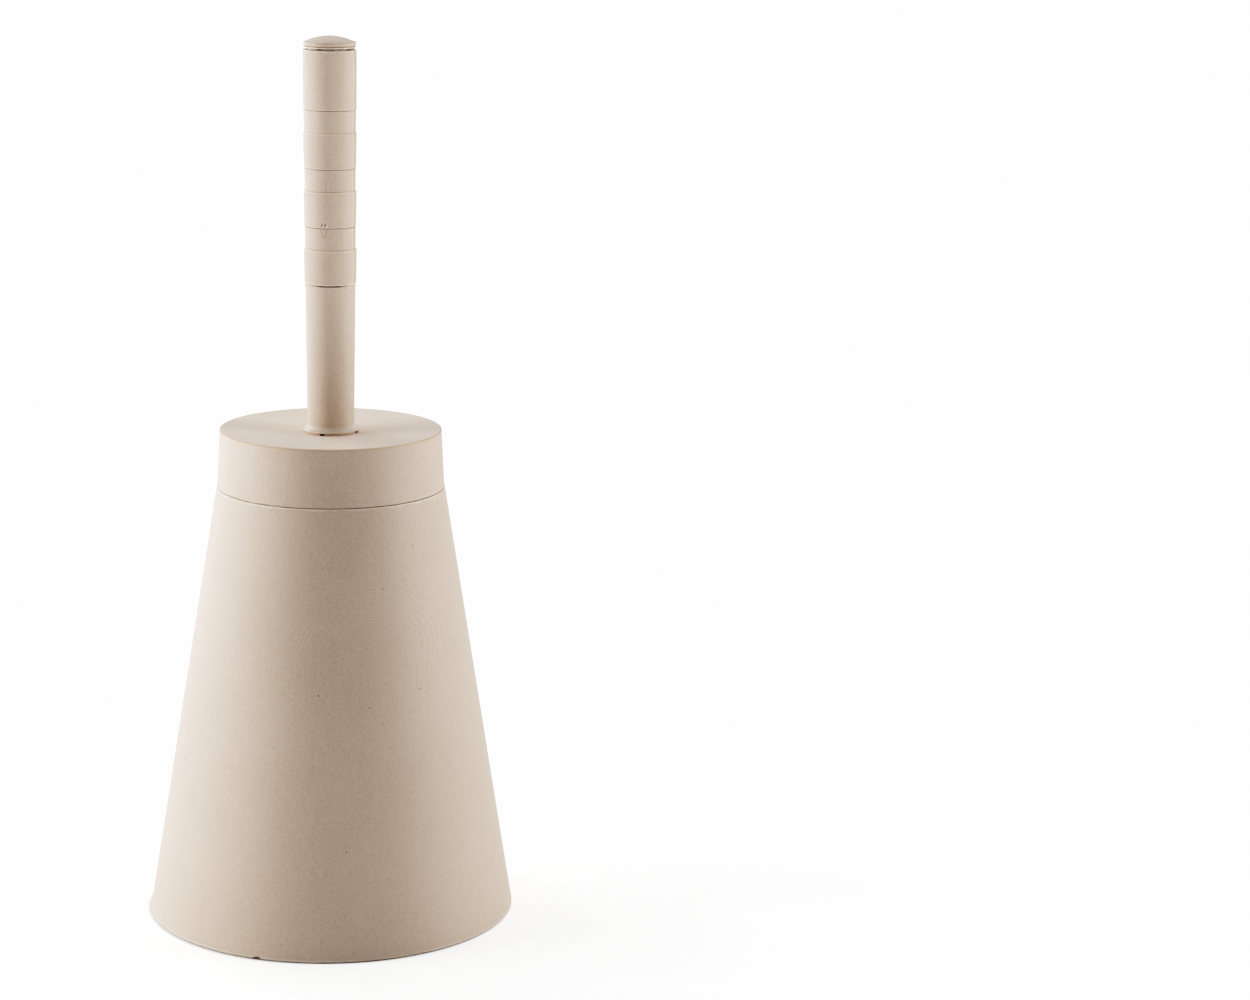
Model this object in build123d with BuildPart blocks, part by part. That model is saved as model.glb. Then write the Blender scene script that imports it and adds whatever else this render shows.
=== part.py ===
from build123d import *
from math import cos, radians, sin, sqrt
import os

# ---------------------------------------------------------------------------
# Toilet brush with a conical holder.  Millimetres, +Z up, origin at the middle
# of the foot circle on the floor.  Every piece is drawn where it sits at rest:
# the brush hangs in the holder and its lid covers the holder's neck.
# ---------------------------------------------------------------------------

# Holder cone
foot_r = 78.0            # outer radius on the floor
shoulder_z = 184.9       # top of the cone, where the lid sits
shoulder_r = 48.1        # outer radius there
cone_wall = 2.5
foot_round = 0.6
shoulder_thick = 2.4
neck_r_low = 45.55       # spigot that the lid drops over
neck_r_top = 45.10
neck_in_r = 43.2
neck_top_z = 196.5
rebate_top_z = 6.0       # ledge that stops the floor disc
rebate_wall = 1.8

# Holder floor disc
base_r = 75.2
base_bottom_z = 3.2
base_top_z = 5.9
base_dish_r = 46.0       # shallow dish that catches drips
base_dish_depth = 0.7
base_rib_h = 1.6

# Lid
lid_rim_z = 185.1
lid_top_z = 209.5          # top of the outer edge
lid_centre_z = 208.2      # the top is slightly dished towards the handle
lid_rim_r = 47.87
lid_top_r = 46.64
lid_rim_in_r = 46.10
lid_in_r = 45.0
lid_under_z = 206.0
lid_edge_round = 0.45
rim_step_r = 46.95       # outer land of the double-lined rim
rim_step_h = 0.45
flange_recess_r = 11.35
flange_recess_z = 207.7
collar_recess_r = 12.9
collar_recess_z = 206.6
lid_hole_r = 8.75
notch_turn = -14.0       # bearing of the first of four small notches and nubs
notch_w = 2.1
notch_r = 11.85

# Handle neck (lower tube with its flared foot)
flange_bottom_z = 207.8
foot_in_r = 11.15        # undercut foot below the flange's lip
lip_under_z = 208.95
flange_r = 11.5
lip_top_z = 209.73
neck_foot_z = 211.56
foot_notch_depth = 1.3
neck_low_r = 9.88
neck_high_r = 10.50
neck_end_z = 270.62
sleeve_seat_r = 9.30
sleeve_seat_top_z = 362.5
handle_bore_r = 7.75

# Grip sleeve: (bottom z, top z, bottom radius, top radius) of each band
bands = [
    (271.32, 285.8, 10.80, 11.02),
    (285.8, 295.3, 10.52, 10.62),
    (295.3, 310.0, 10.76, 11.02),
    (310.0, 319.5, 10.55, 10.65),
    (319.5, 334.2, 10.78, 11.08),
    (334.2, 343.7, 10.74, 10.84),
    (343.7, 367.95, 11.05, 11.12),
]
grip_bore_r = 9.36
grip_lip = 0.27          # bevelled upper lip of each wide band
grip_lip_h = 0.40
grip_groove = 0.26       # groove under each wide band
grip_groove_h = 0.32

# End cap
cap_under_z = 369.55     # underside of the cap's rim
cap_step_z = 368.78      # underside of the thin step below the rim
cap_step_top_z = 369.16
cap_step_r = 10.62
cap_groove_r = 10.15     # fine groove between the step and the rim
cap_rim_z = 371.22       # top of the rim, where the dome starts
cap_top_z = 373.6
cap_r = 10.92
cap_dome_r = 10.12
cap_upper_plug_r = 9.28
cap_lower_plug_r = 7.68
cap_plug_z = 350.0

# Brush stem
collar_r = 12.4
collar_top_z = 206.5
collar_low_z = 203.15
ring_r = 9.6
ring_mid_z = 201.45
stem_root_z = 199.75
stem_top_r = 6.10
stem_low_r = 5.95
stem_end_z = 93.6
stem_spigot_r = 4.0
stem_spigot_z = 64.0
top_spigot_r = 7.68
top_spigot_z = 246.0
stem_bore_r = 4.2
nub_r = 0.28

# Head core and bristle tufts
nose_z = 52.0            # centre of the rounded nose
core_r = 15.0
core_flat_r = 14.05      # distance from the axis to the flat around each socket
flat_cut_r = 4.9
core_shoulder_z = 88.5
core_end_z = 93.5
core_end_r = 8.6
core_bore_r = 4.06
socket_r = 2.35
socket_depth = 2.6
tuft_base_r = 2.2
tuft_tip_r = 5.0
tip_reach = 37.0         # tip distance from the fan centre
anchor_w = 3.0
anchor_h = 0.9
anchor_t = 0.45

# Rows: (name, fan centre z, angle down from the horizontal, tufts, start angle)
# A positive angle points the tufts to the nose and a negative one leans them back.
rows = [
    ("bristle_row_nose", nose_z, 90.0, 1, 0.0),
    ("bristle_row_1", nose_z, 63.0, 6, 12.0),
    ("bristle_row_2", nose_z, 37.0, 11, 4.0),
    ("bristle_row_3", nose_z, 12.0, 13, 0.0),
    ("bristle_row_4", 60.5, 0.0, 13, 180.0 / 13),
    ("bristle_row_5", 70.5, -6.0, 13, 0.0),
    ("bristle_row_6", 80.0, -14.0, 13, 180.0 / 13),
]

os.makedirs("parts", exist_ok=True)


def outer(z):
    """Outer radius of the holder cone at height z."""
    return foot_r + (shoulder_r - foot_r) * z / shoulder_z


def lid_outer(z):
    return lid_rim_r + (lid_top_r - lid_rim_r) * (z - lid_rim_z) / (lid_top_z - lid_rim_z)


def lid_inner(z):
    return lid_rim_in_r + (lid_in_r - lid_rim_in_r) * (z - lid_rim_z) / (lid_under_z - lid_rim_z)


def tuft_planes(row):
    """A plane for each tuft of a row, at the fan centre, facing out along the tuft."""
    name, zc, down, count, start = row
    planes = []
    for i in range(count):
        a = radians(start + 360.0 * i / count)
        e = radians(down)
        d = Vector(cos(e) * cos(a), cos(e) * sin(a), -sin(e))
        x = Vector(-sin(a), cos(a), 0)
        planes.append(Plane(origin=(0, 0, zc), x_dir=x, z_dir=d))
    return planes


all_tufts = [p for row in rows for p in tuft_planes(row)]

# ---------------------------------------------------------------------------
# Holder cone: a tapered skirt with a shoulder and a neck, open at both ends
# ---------------------------------------------------------------------------
inner_top_z = shoulder_z - shoulder_thick
with BuildPart() as holder_cone:
    with BuildSketch(Plane.XZ):
        with BuildLine():
            Polyline(
                (outer(0) - rebate_wall, 0),
                (outer(0), 0),
                (shoulder_r, shoulder_z),
                (neck_r_low, shoulder_z),
                (neck_r_top, neck_top_z),
                (neck_in_r, neck_top_z),
                (neck_in_r, inner_top_z),
                (outer(inner_top_z) - cone_wall, inner_top_z),
                (outer(rebate_top_z) - cone_wall, rebate_top_z),
                (outer(rebate_top_z) - rebate_wall, rebate_top_z),
                close=True,
            )
        make_face()
    revolve(axis=Axis.Z)
    foot_edge = holder_cone.edges().filter_by(GeomType.CIRCLE).filter_by(
        lambda e: abs(e.center().Z) < 1e-3 and abs(e.radius - foot_r) < 1e-3
    )
    fillet(foot_edge, foot_round)
    neck_edges = holder_cone.edges().filter_by(GeomType.CIRCLE).filter_by(
        lambda e: abs(e.center().Z - neck_top_z) < 1e-3
    )
    fillet(neck_edges, 0.5)
    shoulder_edge = holder_cone.edges().filter_by(GeomType.CIRCLE).filter_by(
        lambda e: abs(e.center().Z - shoulder_z) < 1e-3 and abs(e.radius - shoulder_r) < 1e-3
    )
    fillet(shoulder_edge, 0.35)
holder_cone.part.label = "holder_cone"
export_step(holder_cone.part, "parts/holder_cone.step")

# ---------------------------------------------------------------------------
# Holder floor disc, set in from below against the ledge of the cone
# ---------------------------------------------------------------------------
with BuildPart() as holder_base:
    with BuildSketch(Plane.XY.offset(base_bottom_z)):
        Circle(base_r)
    extrude(amount=base_top_z - base_bottom_z)
    with BuildSketch(Plane.XY.offset(base_top_z)):
        Circle(base_dish_r)
    extrude(amount=-base_dish_depth, mode=Mode.SUBTRACT)
    with BuildSketch(Plane.XY.offset(base_bottom_z)):
        Circle(base_r - 1.6)
        Circle(base_r - 3.2, mode=Mode.SUBTRACT)
        Circle(32.0)
        Circle(30.6, mode=Mode.SUBTRACT)
        with PolarLocations(51.7, 8):
            Rectangle(41.2, 1.3)
        Circle(5.0)
        Circle(3.6, mode=Mode.SUBTRACT)
    extrude(amount=-base_rib_h)
    dish_edge = holder_base.edges().filter_by(GeomType.CIRCLE).filter_by(
        lambda e: abs(e.center().Z - base_top_z) < 1e-3 and abs(e.radius - base_dish_r) < 1e-3
    )
    chamfer(dish_edge, 0.5)
holder_base.part.label = "holder_base"
export_step(holder_base.part, "parts/holder_base.step")

# ---------------------------------------------------------------------------
# Lid: a shallow cap with a stepped rim and a recessed hole for the handle
# ---------------------------------------------------------------------------
with BuildPart() as lid_cap:
    with BuildSketch(Plane.XZ):
        with BuildLine():
            Polyline(
                (lid_hole_r, collar_recess_z),
                (collar_recess_r, collar_recess_z),
                (collar_recess_r, lid_under_z),
                (lid_in_r, lid_under_z),
                (lid_inner(lid_rim_z + rim_step_h), lid_rim_z + rim_step_h),
                (rim_step_r, lid_rim_z + rim_step_h),
                (rim_step_r, lid_rim_z),
                (lid_rim_r, lid_rim_z),
                (lid_top_r, lid_top_z),
                (lid_top_r - 1.2, lid_top_z),
                (flange_recess_r + 1.6, lid_centre_z),
                (flange_recess_r, lid_centre_z),
                (flange_recess_r, flange_recess_z),
                (lid_hole_r, flange_recess_z),
                close=True,
            )
        make_face()
    revolve(axis=Axis.Z)
    lid_rings = lid_cap.edges().filter_by(GeomType.CIRCLE)
    fillet(
        lid_rings.filter_by(
            lambda e: abs(e.center().Z - lid_top_z) < 1e-3 and abs(e.radius - lid_top_r) < 1e-3
        ),
        lid_edge_round,
    )
    lid_rings = lid_cap.edges().filter_by(GeomType.CIRCLE)
    fillet(
        lid_rings.filter_by(
            lambda e: abs(e.center().Z - lid_under_z) < 1e-3 and abs(e.radius - lid_in_r) < 1e-3
        ),
        1.2,
    )
    lid_rings = lid_cap.edges().filter_by(GeomType.CIRCLE)
    fillet(
        lid_rings.filter_by(
            lambda e: abs(e.center().Z - lid_centre_z) < 1e-3 and abs(e.radius - flange_recess_r) < 1e-3
        ),
        0.15,
    )
    lid_rings = lid_cap.edges().filter_by(GeomType.CIRCLE)
    fillet(
        lid_rings.filter_by(
            lambda e: abs(e.center().Z - lid_rim_z) < 1e-3 and abs(e.radius - lid_rim_r) < 1e-3
        ),
        0.2,
    )
    # four small notches at the edge of the handle's recess
    with BuildSketch(Plane.XY.offset(lid_top_z + 0.5)):
        with PolarLocations(notch_r - 1.0, 4, start_angle=notch_turn):
            Rectangle(2.0, notch_w)
    extrude(amount=-(lid_top_z + 0.5 - flange_recess_z), mode=Mode.SUBTRACT)
lid_cap.part.label = "lid_cap"
export_step(lid_cap.part, "parts/lid_cap.step")

# ---------------------------------------------------------------------------
# Handle neck: flared foot, tapered tube, and the thinner seat for the grip
# ---------------------------------------------------------------------------
with BuildPart() as handle_neck:
    with BuildSketch(Plane.XZ):
        with BuildLine():
            l1 = Polyline(
                (handle_bore_r, flange_bottom_z),
                (foot_in_r, flange_bottom_z),
                (foot_in_r, lip_under_z),
                (flange_r - 0.12, lip_under_z),
                (flange_r, lip_under_z + 0.12),
                (flange_r, lip_top_z - 0.4),
            )
            l2 = ThreePointArc(
                (flange_r, lip_top_z - 0.4),
                (flange_r - 0.4 + 0.4 * cos(radians(40)), lip_top_z - 0.4 + 0.4 * sin(radians(40))),
                (flange_r - 0.4 + 0.4 * cos(radians(75)), lip_top_z - 0.4 + 0.4 * sin(radians(75))),
            )
            l2b = Polyline(
                (flange_r - 0.4 + 0.4 * cos(radians(75)), lip_top_z - 0.4 + 0.4 * sin(radians(75))),
                (10.80, lip_top_z + 0.20),
                (10.42, lip_top_z + 0.63),
                (10.14, lip_top_z + 1.16),
                (neck_low_r + 0.10, neck_foot_z - 0.12),
                (neck_low_r, neck_foot_z),
            )
            l3 = Polyline(
                (neck_low_r, neck_foot_z),
                (neck_high_r, neck_end_z),
                (sleeve_seat_r, neck_end_z),
                (sleeve_seat_r, sleeve_seat_top_z),
                (handle_bore_r, sleeve_seat_top_z),
                (handle_bore_r, flange_bottom_z),
            )
        make_face()
    revolve(axis=Axis.Z)
    neck_rings = handle_neck.edges().filter_by(GeomType.CIRCLE)
    chamfer(
        neck_rings.filter_by(
            lambda e: abs(e.center().Z - sleeve_seat_top_z) < 1e-3 and abs(e.radius - sleeve_seat_r) < 1e-3
        ),
        0.4,
    )
    # four small notches through the undercut foot
    with BuildSketch(Plane.XY.offset(flange_bottom_z)):
        with PolarLocations(foot_in_r - foot_notch_depth / 2 + 0.2, 4, start_angle=notch_turn):
            Rectangle(foot_notch_depth + 0.4, notch_w)
    extrude(amount=lip_under_z - flange_bottom_z, mode=Mode.SUBTRACT)
handle_neck.part.label = "handle_neck"
export_step(handle_neck.part, "parts/handle_neck.step")

# ---------------------------------------------------------------------------
# Grip sleeve: seven bands, wide ones standing slightly proud of narrow ones
# ---------------------------------------------------------------------------
grip_points = [(grip_bore_r, bands[0][0])]
for i, (zb, zt, rb, rt) in enumerate(bands):
    if i % 2 == 0:
        # wide band: small lower edge, larger bevelled upper lip
        grip_points += [(rb - 0.12, zb), (rb, zb + 0.14), (rt, zt - grip_lip_h), (rt - grip_lip, zt)]
    else:
        # narrow band: fine crease at its foot, groove under the wide band above
        grip_points += [
            (rb - 0.12, zb),
            (rb - 0.12, zb + 0.12),
            (rb, zb + 0.30),
            (rt, zt - grip_groove_h - 0.08),
            (rt - grip_groove, zt - grip_groove_h),
            (rt - grip_groove, zt),
        ]
grip_points.append((grip_bore_r, bands[-1][1]))
with BuildPart() as handle_grip:
    with BuildSketch(Plane.XZ):
        with BuildLine():
            Polyline(*grip_points, close=True)
        make_face()
    revolve(axis=Axis.Z)
handle_grip.part.label = "handle_grip"
export_step(handle_grip.part, "parts/handle_grip.step")

# ---------------------------------------------------------------------------
# End cap: a shallow domed button on a stepped hollow plug
# ---------------------------------------------------------------------------
dome_drop = cap_top_z - cap_rim_z
dome_ball = (cap_dome_r**2 + dome_drop**2) / (2 * dome_drop)
with BuildPart() as handle_end_cap:
    with BuildSketch(Plane.XZ):
        with BuildLine():
            c1 = Polyline(
                (0, cap_top_z),
                (0, cap_under_z - 1.2),
                (cap_lower_plug_r - 2.0, cap_under_z - 1.2),
                (cap_lower_plug_r - 2.0, cap_plug_z),
                (cap_lower_plug_r - 0.5, cap_plug_z),
                (cap_lower_plug_r, cap_plug_z + 1.2),
                (cap_lower_plug_r, sleeve_seat_top_z + 0.1),
                (cap_upper_plug_r, sleeve_seat_top_z + 0.1),
                (cap_upper_plug_r, cap_step_z),
                (cap_step_r, cap_step_z),
                (cap_step_r, cap_step_top_z),
                (cap_groove_r, cap_step_top_z + 0.06),
                (cap_groove_r, cap_under_z),
            )
            c2a = Polyline((cap_groove_r, cap_under_z), (cap_r - 0.37, cap_under_z))
            c2b = ThreePointArc(
                (cap_r - 0.37, cap_under_z),
                (cap_r - 0.37 + 0.37 * sin(radians(45)), cap_under_z + 0.37 - 0.37 * cos(radians(45))),
                (cap_r, cap_under_z + 0.37),
            )
            c2c = Polyline((cap_r, cap_under_z + 0.37), (cap_r, cap_rim_z - 0.47))
            c2d = ThreePointArc(
                (cap_r, cap_rim_z - 0.47),
                (cap_r - 0.47 + 0.47 * cos(radians(45)), cap_rim_z - 0.47 + 0.47 * sin(radians(45))),
                (cap_r - 0.47, cap_rim_z),
            )
            c3 = Polyline(
                (cap_r - 0.47, cap_rim_z),
                (cap_dome_r + 0.16, cap_rim_z - 0.12),
                (cap_dome_r, cap_rim_z),
            )
            c4 = ThreePointArc(
                (cap_dome_r, cap_rim_z),
                (cap_dome_r * 0.5, cap_top_z - dome_ball + sqrt(dome_ball**2 - (cap_dome_r * 0.5) ** 2)),
                (0, cap_top_z),
            )
        make_face()
    revolve(axis=Axis.Z)
handle_end_cap.part.label = "handle_end_cap"
export_step(handle_end_cap.part, "parts/handle_end_cap.step")

# ---------------------------------------------------------------------------
# Brush stem: plug for the handle, lid collar, rounded ring, long rod
# ---------------------------------------------------------------------------
with BuildPart() as brush_stem:
    with BuildSketch(Plane.XZ):
        with BuildLine():
            Polyline(
                (0, stem_spigot_z),
                (stem_spigot_r - 0.5, stem_spigot_z),
                (stem_spigot_r, stem_spigot_z + 1.0),
                (stem_spigot_r, stem_end_z),
                (stem_low_r, stem_end_z),
                (stem_top_r, stem_root_z - 2.2),
                (stem_top_r + 0.18, stem_root_z - 1.1),
                (6.8, stem_root_z - 0.2),
                (8.0, stem_root_z + 0.25),
                (8.9, stem_root_z + 0.75),
                (9.42, ring_mid_z - 0.35),
                (ring_r, ring_mid_z + 0.25),
                (9.42, ring_mid_z + 0.8),
                (9.5, ring_mid_z + 1.15),
                (10.1, collar_low_z - 0.25),
                (11.6, collar_low_z),
                (12.1, collar_low_z + 0.35),
                (collar_r, collar_top_z - 0.4),
                (collar_r, collar_top_z),
                (lid_hole_r - 0.1, collar_top_z),
                (lid_hole_r - 0.1, flange_bottom_z),
                (top_spigot_r, flange_bottom_z),
                (top_spigot_r, top_spigot_z - 1.2),
                (top_spigot_r - 0.8, top_spigot_z),
                (stem_bore_r, top_spigot_z),
                (stem_bore_r, collar_low_z + 6.0),
                (0, collar_low_z + 6.0),
                close=True,
            )
        make_face()
    revolve(axis=Axis.Z)
    # crush nubs on the collar's rim
    with PolarLocations(collar_r - 0.05, 4, start_angle=notch_turn):
        with Locations((0, 0, collar_top_z - 0.55)):
            Cylinder(nub_r, 0.9, align=(Align.CENTER, Align.CENTER, Align.CENTER))
brush_stem.part.label = "brush_stem"
export_step(brush_stem.part, "parts/brush_stem.step")

# ---------------------------------------------------------------------------
# Head core: round-nosed block with a flat and a blind socket for every tuft
# ---------------------------------------------------------------------------
with BuildPart() as head_core:
    with BuildSketch(Plane.XZ):
        with BuildLine():
            n1 = ThreePointArc(
                (0, nose_z - core_r),
                (core_r * sin(radians(45)), nose_z - core_r * cos(radians(45))),
                (core_r, nose_z),
            )
            n2 = Polyline(
                (core_r, nose_z),
                (core_r, core_shoulder_z),
                (core_end_r, core_end_z),
                (0, core_end_z),
                (0, nose_z - core_r),
            )
        make_face()
    revolve(axis=Axis.Z)
    with Locations(*[p.offset(core_flat_r).location for p in all_tufts]):
        Cylinder(flat_cut_r, 4.0, align=(Align.CENTER, Align.CENTER, Align.MIN), mode=Mode.SUBTRACT)
    with Locations(*[p.offset(core_flat_r - socket_depth).location for p in all_tufts]):
        Cylinder(socket_r, 8.0, align=(Align.CENTER, Align.CENTER, Align.MIN), mode=Mode.SUBTRACT)
    with BuildSketch(Plane.XY.offset(stem_spigot_z - 0.3)):
        Circle(core_bore_r)
    extrude(amount=core_end_z - stem_spigot_z + 1.0, mode=Mode.SUBTRACT)
head_core.part.label = "head_core"
export_step(head_core.part, "parts/head_core.step")

# ---------------------------------------------------------------------------
# Bristle tufts, one closed flaring bundle per socket, one node per row
# ---------------------------------------------------------------------------
anchor_top = core_flat_r - socket_depth + 0.05 + anchor_h
tuft_foot = anchor_top + 0.05
tuft_nodes = {}
for row in rows:
    with BuildPart() as bristles:
        with Locations(*[p.offset(tuft_foot).location for p in tuft_planes(row)]):
            Cylinder(tuft_base_r, core_flat_r - tuft_foot + 0.4, align=(Align.CENTER, Align.CENTER, Align.MIN))
        with Locations(*[p.offset(core_flat_r + 0.4).location for p in tuft_planes(row)]):
            Cone(
                tuft_base_r,
                tuft_tip_r,
                tip_reach - core_flat_r - 0.4,
                align=(Align.CENTER, Align.CENTER, Align.MIN),
            )
    bristles.part.label = row[0]
    tuft_nodes[row[0]] = bristles.part
    export_step(bristles.part, "parts/" + row[0] + ".step")

# ---------------------------------------------------------------------------
# Metal staples that hold the tufts down in their sockets
# ---------------------------------------------------------------------------
with BuildPart() as tuft_anchors:
    with Locations(*[p.offset(core_flat_r - socket_depth + 0.05).location for p in all_tufts]):
        Box(anchor_t, anchor_w, anchor_h, align=(Align.CENTER, Align.CENTER, Align.MIN))
tuft_anchors.part.label = "tuft_anchors"
export_step(tuft_anchors.part, "parts/tuft_anchors.step")

print("tufts", len(all_tufts))
print("height", cap_top_z, "foot diameter", 2 * foot_r)
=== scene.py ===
import math
import random

import bmesh
import bpy
from mathutils import Matrix, Vector


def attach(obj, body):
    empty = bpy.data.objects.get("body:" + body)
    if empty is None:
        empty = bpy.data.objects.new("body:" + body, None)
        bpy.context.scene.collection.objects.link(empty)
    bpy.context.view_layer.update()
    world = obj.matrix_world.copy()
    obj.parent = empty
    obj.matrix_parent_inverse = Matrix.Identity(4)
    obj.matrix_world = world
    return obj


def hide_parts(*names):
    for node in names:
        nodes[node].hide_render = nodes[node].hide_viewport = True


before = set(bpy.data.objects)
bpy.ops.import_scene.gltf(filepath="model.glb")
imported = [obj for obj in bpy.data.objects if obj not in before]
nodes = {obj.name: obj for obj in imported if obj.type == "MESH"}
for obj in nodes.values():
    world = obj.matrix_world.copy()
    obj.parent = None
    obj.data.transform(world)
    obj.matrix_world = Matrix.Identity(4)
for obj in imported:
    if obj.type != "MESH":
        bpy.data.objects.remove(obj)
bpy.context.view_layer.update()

MM = 0.001
scene = bpy.context.scene

# ---------------------------------------------------------------------------
# Camera
# ---------------------------------------------------------------------------
PITCH = 0.21488
ROLL = 0.01682
cam_data = bpy.data.cameras.new("camera")
cam_data.sensor_fit = "HORIZONTAL"
cam_data.sensor_width = 36.0
cam_data.lens = 3192.75 / 1250.0 * 36.0
cam_data.clip_start = 0.01
cam_data.clip_end = 60.0
cam = bpy.data.objects.new("camera", cam_data)
scene.collection.objects.link(cam)
fwd = Vector((0.0, math.cos(PITCH), -math.sin(PITCH)))
up0 = Vector((0.0, math.sin(PITCH), math.cos(PITCH)))
right0 = Vector((1.0, 0.0, 0.0))
cam_right = right0 * math.cos(ROLL) + up0 * math.sin(ROLL)
cam_up = up0 * math.cos(ROLL) - right0 * math.sin(ROLL)
rot = Matrix((cam_right, cam_up, -fwd)).transposed().to_4x4()
cam.matrix_world = Matrix.Translation((0.12444, -1.32069, 0.46875)) @ rot
scene.camera = cam
scene.view_settings.view_transform = "Standard"
scene.view_settings.look = "None"
scene.view_settings.exposure = 0.0
scene.view_settings.gamma = 1.0

# Film-like tone curve: steeper in the darks, rolling off towards white.
TONE_MID = 0.30
TONE_POWER = 1.72
TONE_TOP = 1.05


def tone(x):
    q = (max(x, 0.0) / TONE_MID) ** TONE_POWER
    y = TONE_TOP * q / (1.0 + q)
    knee = 2.25 * TONE_MID
    if x > knee:
        q = (knee / TONE_MID) ** TONE_POWER
        y0 = TONE_TOP * q / (1.0 + q)
        s = min(1.0, (x - knee) / (3.5 * TONE_MID - knee))
        y = y0 + (1.0 - y0) * (1.0 - (1.0 - s) ** 1.35)
    return y


scene.view_settings.use_curve_mapping = True
curves = scene.view_settings.curve_mapping
curves.use_clip = False
curves.extend = "HORIZONTAL"
curve = curves.curves[3]
TONE_END = 3.5 * TONE_MID
curve.points[0].location = (0.0, 0.0)
curve.points[-1].location = (TONE_END, 1.0)
for step in (0.03, 0.07, 0.12, 0.18, 0.25, 0.33, 0.42, 0.52, 0.62, 0.72, 0.82, 0.91):
    curve.points.new(step * TONE_END, tone(step * TONE_END))
curves.update()


# ---------------------------------------------------------------------------
# Small helpers for node trees
# ---------------------------------------------------------------------------
class Tree:
    def __init__(self, mat):
        self.mat = mat
        mat.use_nodes = True
        self.nt = mat.node_tree
        self.nt.nodes.clear()

    def node(self, kind, **props):
        n = self.nt.nodes.new(kind)
        for k, v in props.items():
            if k == "inputs":
                for name, value in v.items():
                    n.inputs[name].default_value = value
            else:
                setattr(n, k, v)
        return n

    def link(self, a, b):
        self.nt.links.new(a, b)

    def math(self, op, a, b=None, c=None, clamp=False):
        n = self.nt.nodes.new("ShaderNodeMath")
        n.operation = op
        n.use_clamp = clamp
        for i, v in enumerate((a, b, c)):
            if v is None:
                continue
            if isinstance(v, (int, float)):
                n.inputs[i].default_value = v
            else:
                self.link(v, n.inputs[i])
        return n.outputs[0]

    def mix(self, fac, a, b, mode="MIX"):
        n = self.nt.nodes.new("ShaderNodeMix")
        n.data_type = "RGBA"
        n.blend_type = mode
        n.clamp_factor = True
        for sock, v in ((n.inputs[0], fac), (n.inputs[6], a), (n.inputs[7], b)):
            if isinstance(v, (int, float)):
                sock.default_value = v
            elif isinstance(v, (tuple, list)):
                sock.default_value = (v[0], v[1], v[2], 1.0)
            else:
                self.link(v, sock)
        return n.outputs[2]

    def ramp(self, value, lo, hi, out_lo=0.0, out_hi=1.0, smooth=True):
        n = self.nt.nodes.new("ShaderNodeMapRange")
        n.interpolation_type = "SMOOTHSTEP" if smooth else "LINEAR"
        n.inputs[1].default_value = lo
        n.inputs[2].default_value = hi
        n.inputs[3].default_value = out_lo
        n.inputs[4].default_value = out_hi
        self.link(value, n.inputs[0])
        return n.outputs[0]


def srgb(r, g, b):
    def lin(c):
        c = c / 255.0
        return c / 12.92 if c <= 0.04045 else ((c + 0.055) / 1.055) ** 2.4
    return (lin(r), lin(g), lin(b))


BEIGE = (0.665, 0.532, 0.429)
# TAN: painted shade in gaps and under overhangs, and a painted glow along the lid's rounded top edge.
TAN = (0.60, 0.385, 0.215)
# The pale colour is used only for painted highlights.
HIGHLIGHT_PALE = (0.84, 0.75, 0.655)


# Arches on the cone: (centre x, springing z, inner radius, outer radius, line spacing, lowest z, strength)
ARCHES = [
    (0.0195, 0.1220, 0.0172, 0.0212, 0.0014, 0.094, 1.0),
    (0.0185, 0.1240, 0.0225, 0.0300, 0.0017, 0.108, 0.8),
    (0.0180, 0.1080, 0.0120, 0.0150, 0.0013, 0.100, 0.85),
    (0.0215, 0.0900, 0.0125, 0.0165, 0.0015, 0.078, 0.7),
]


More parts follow.
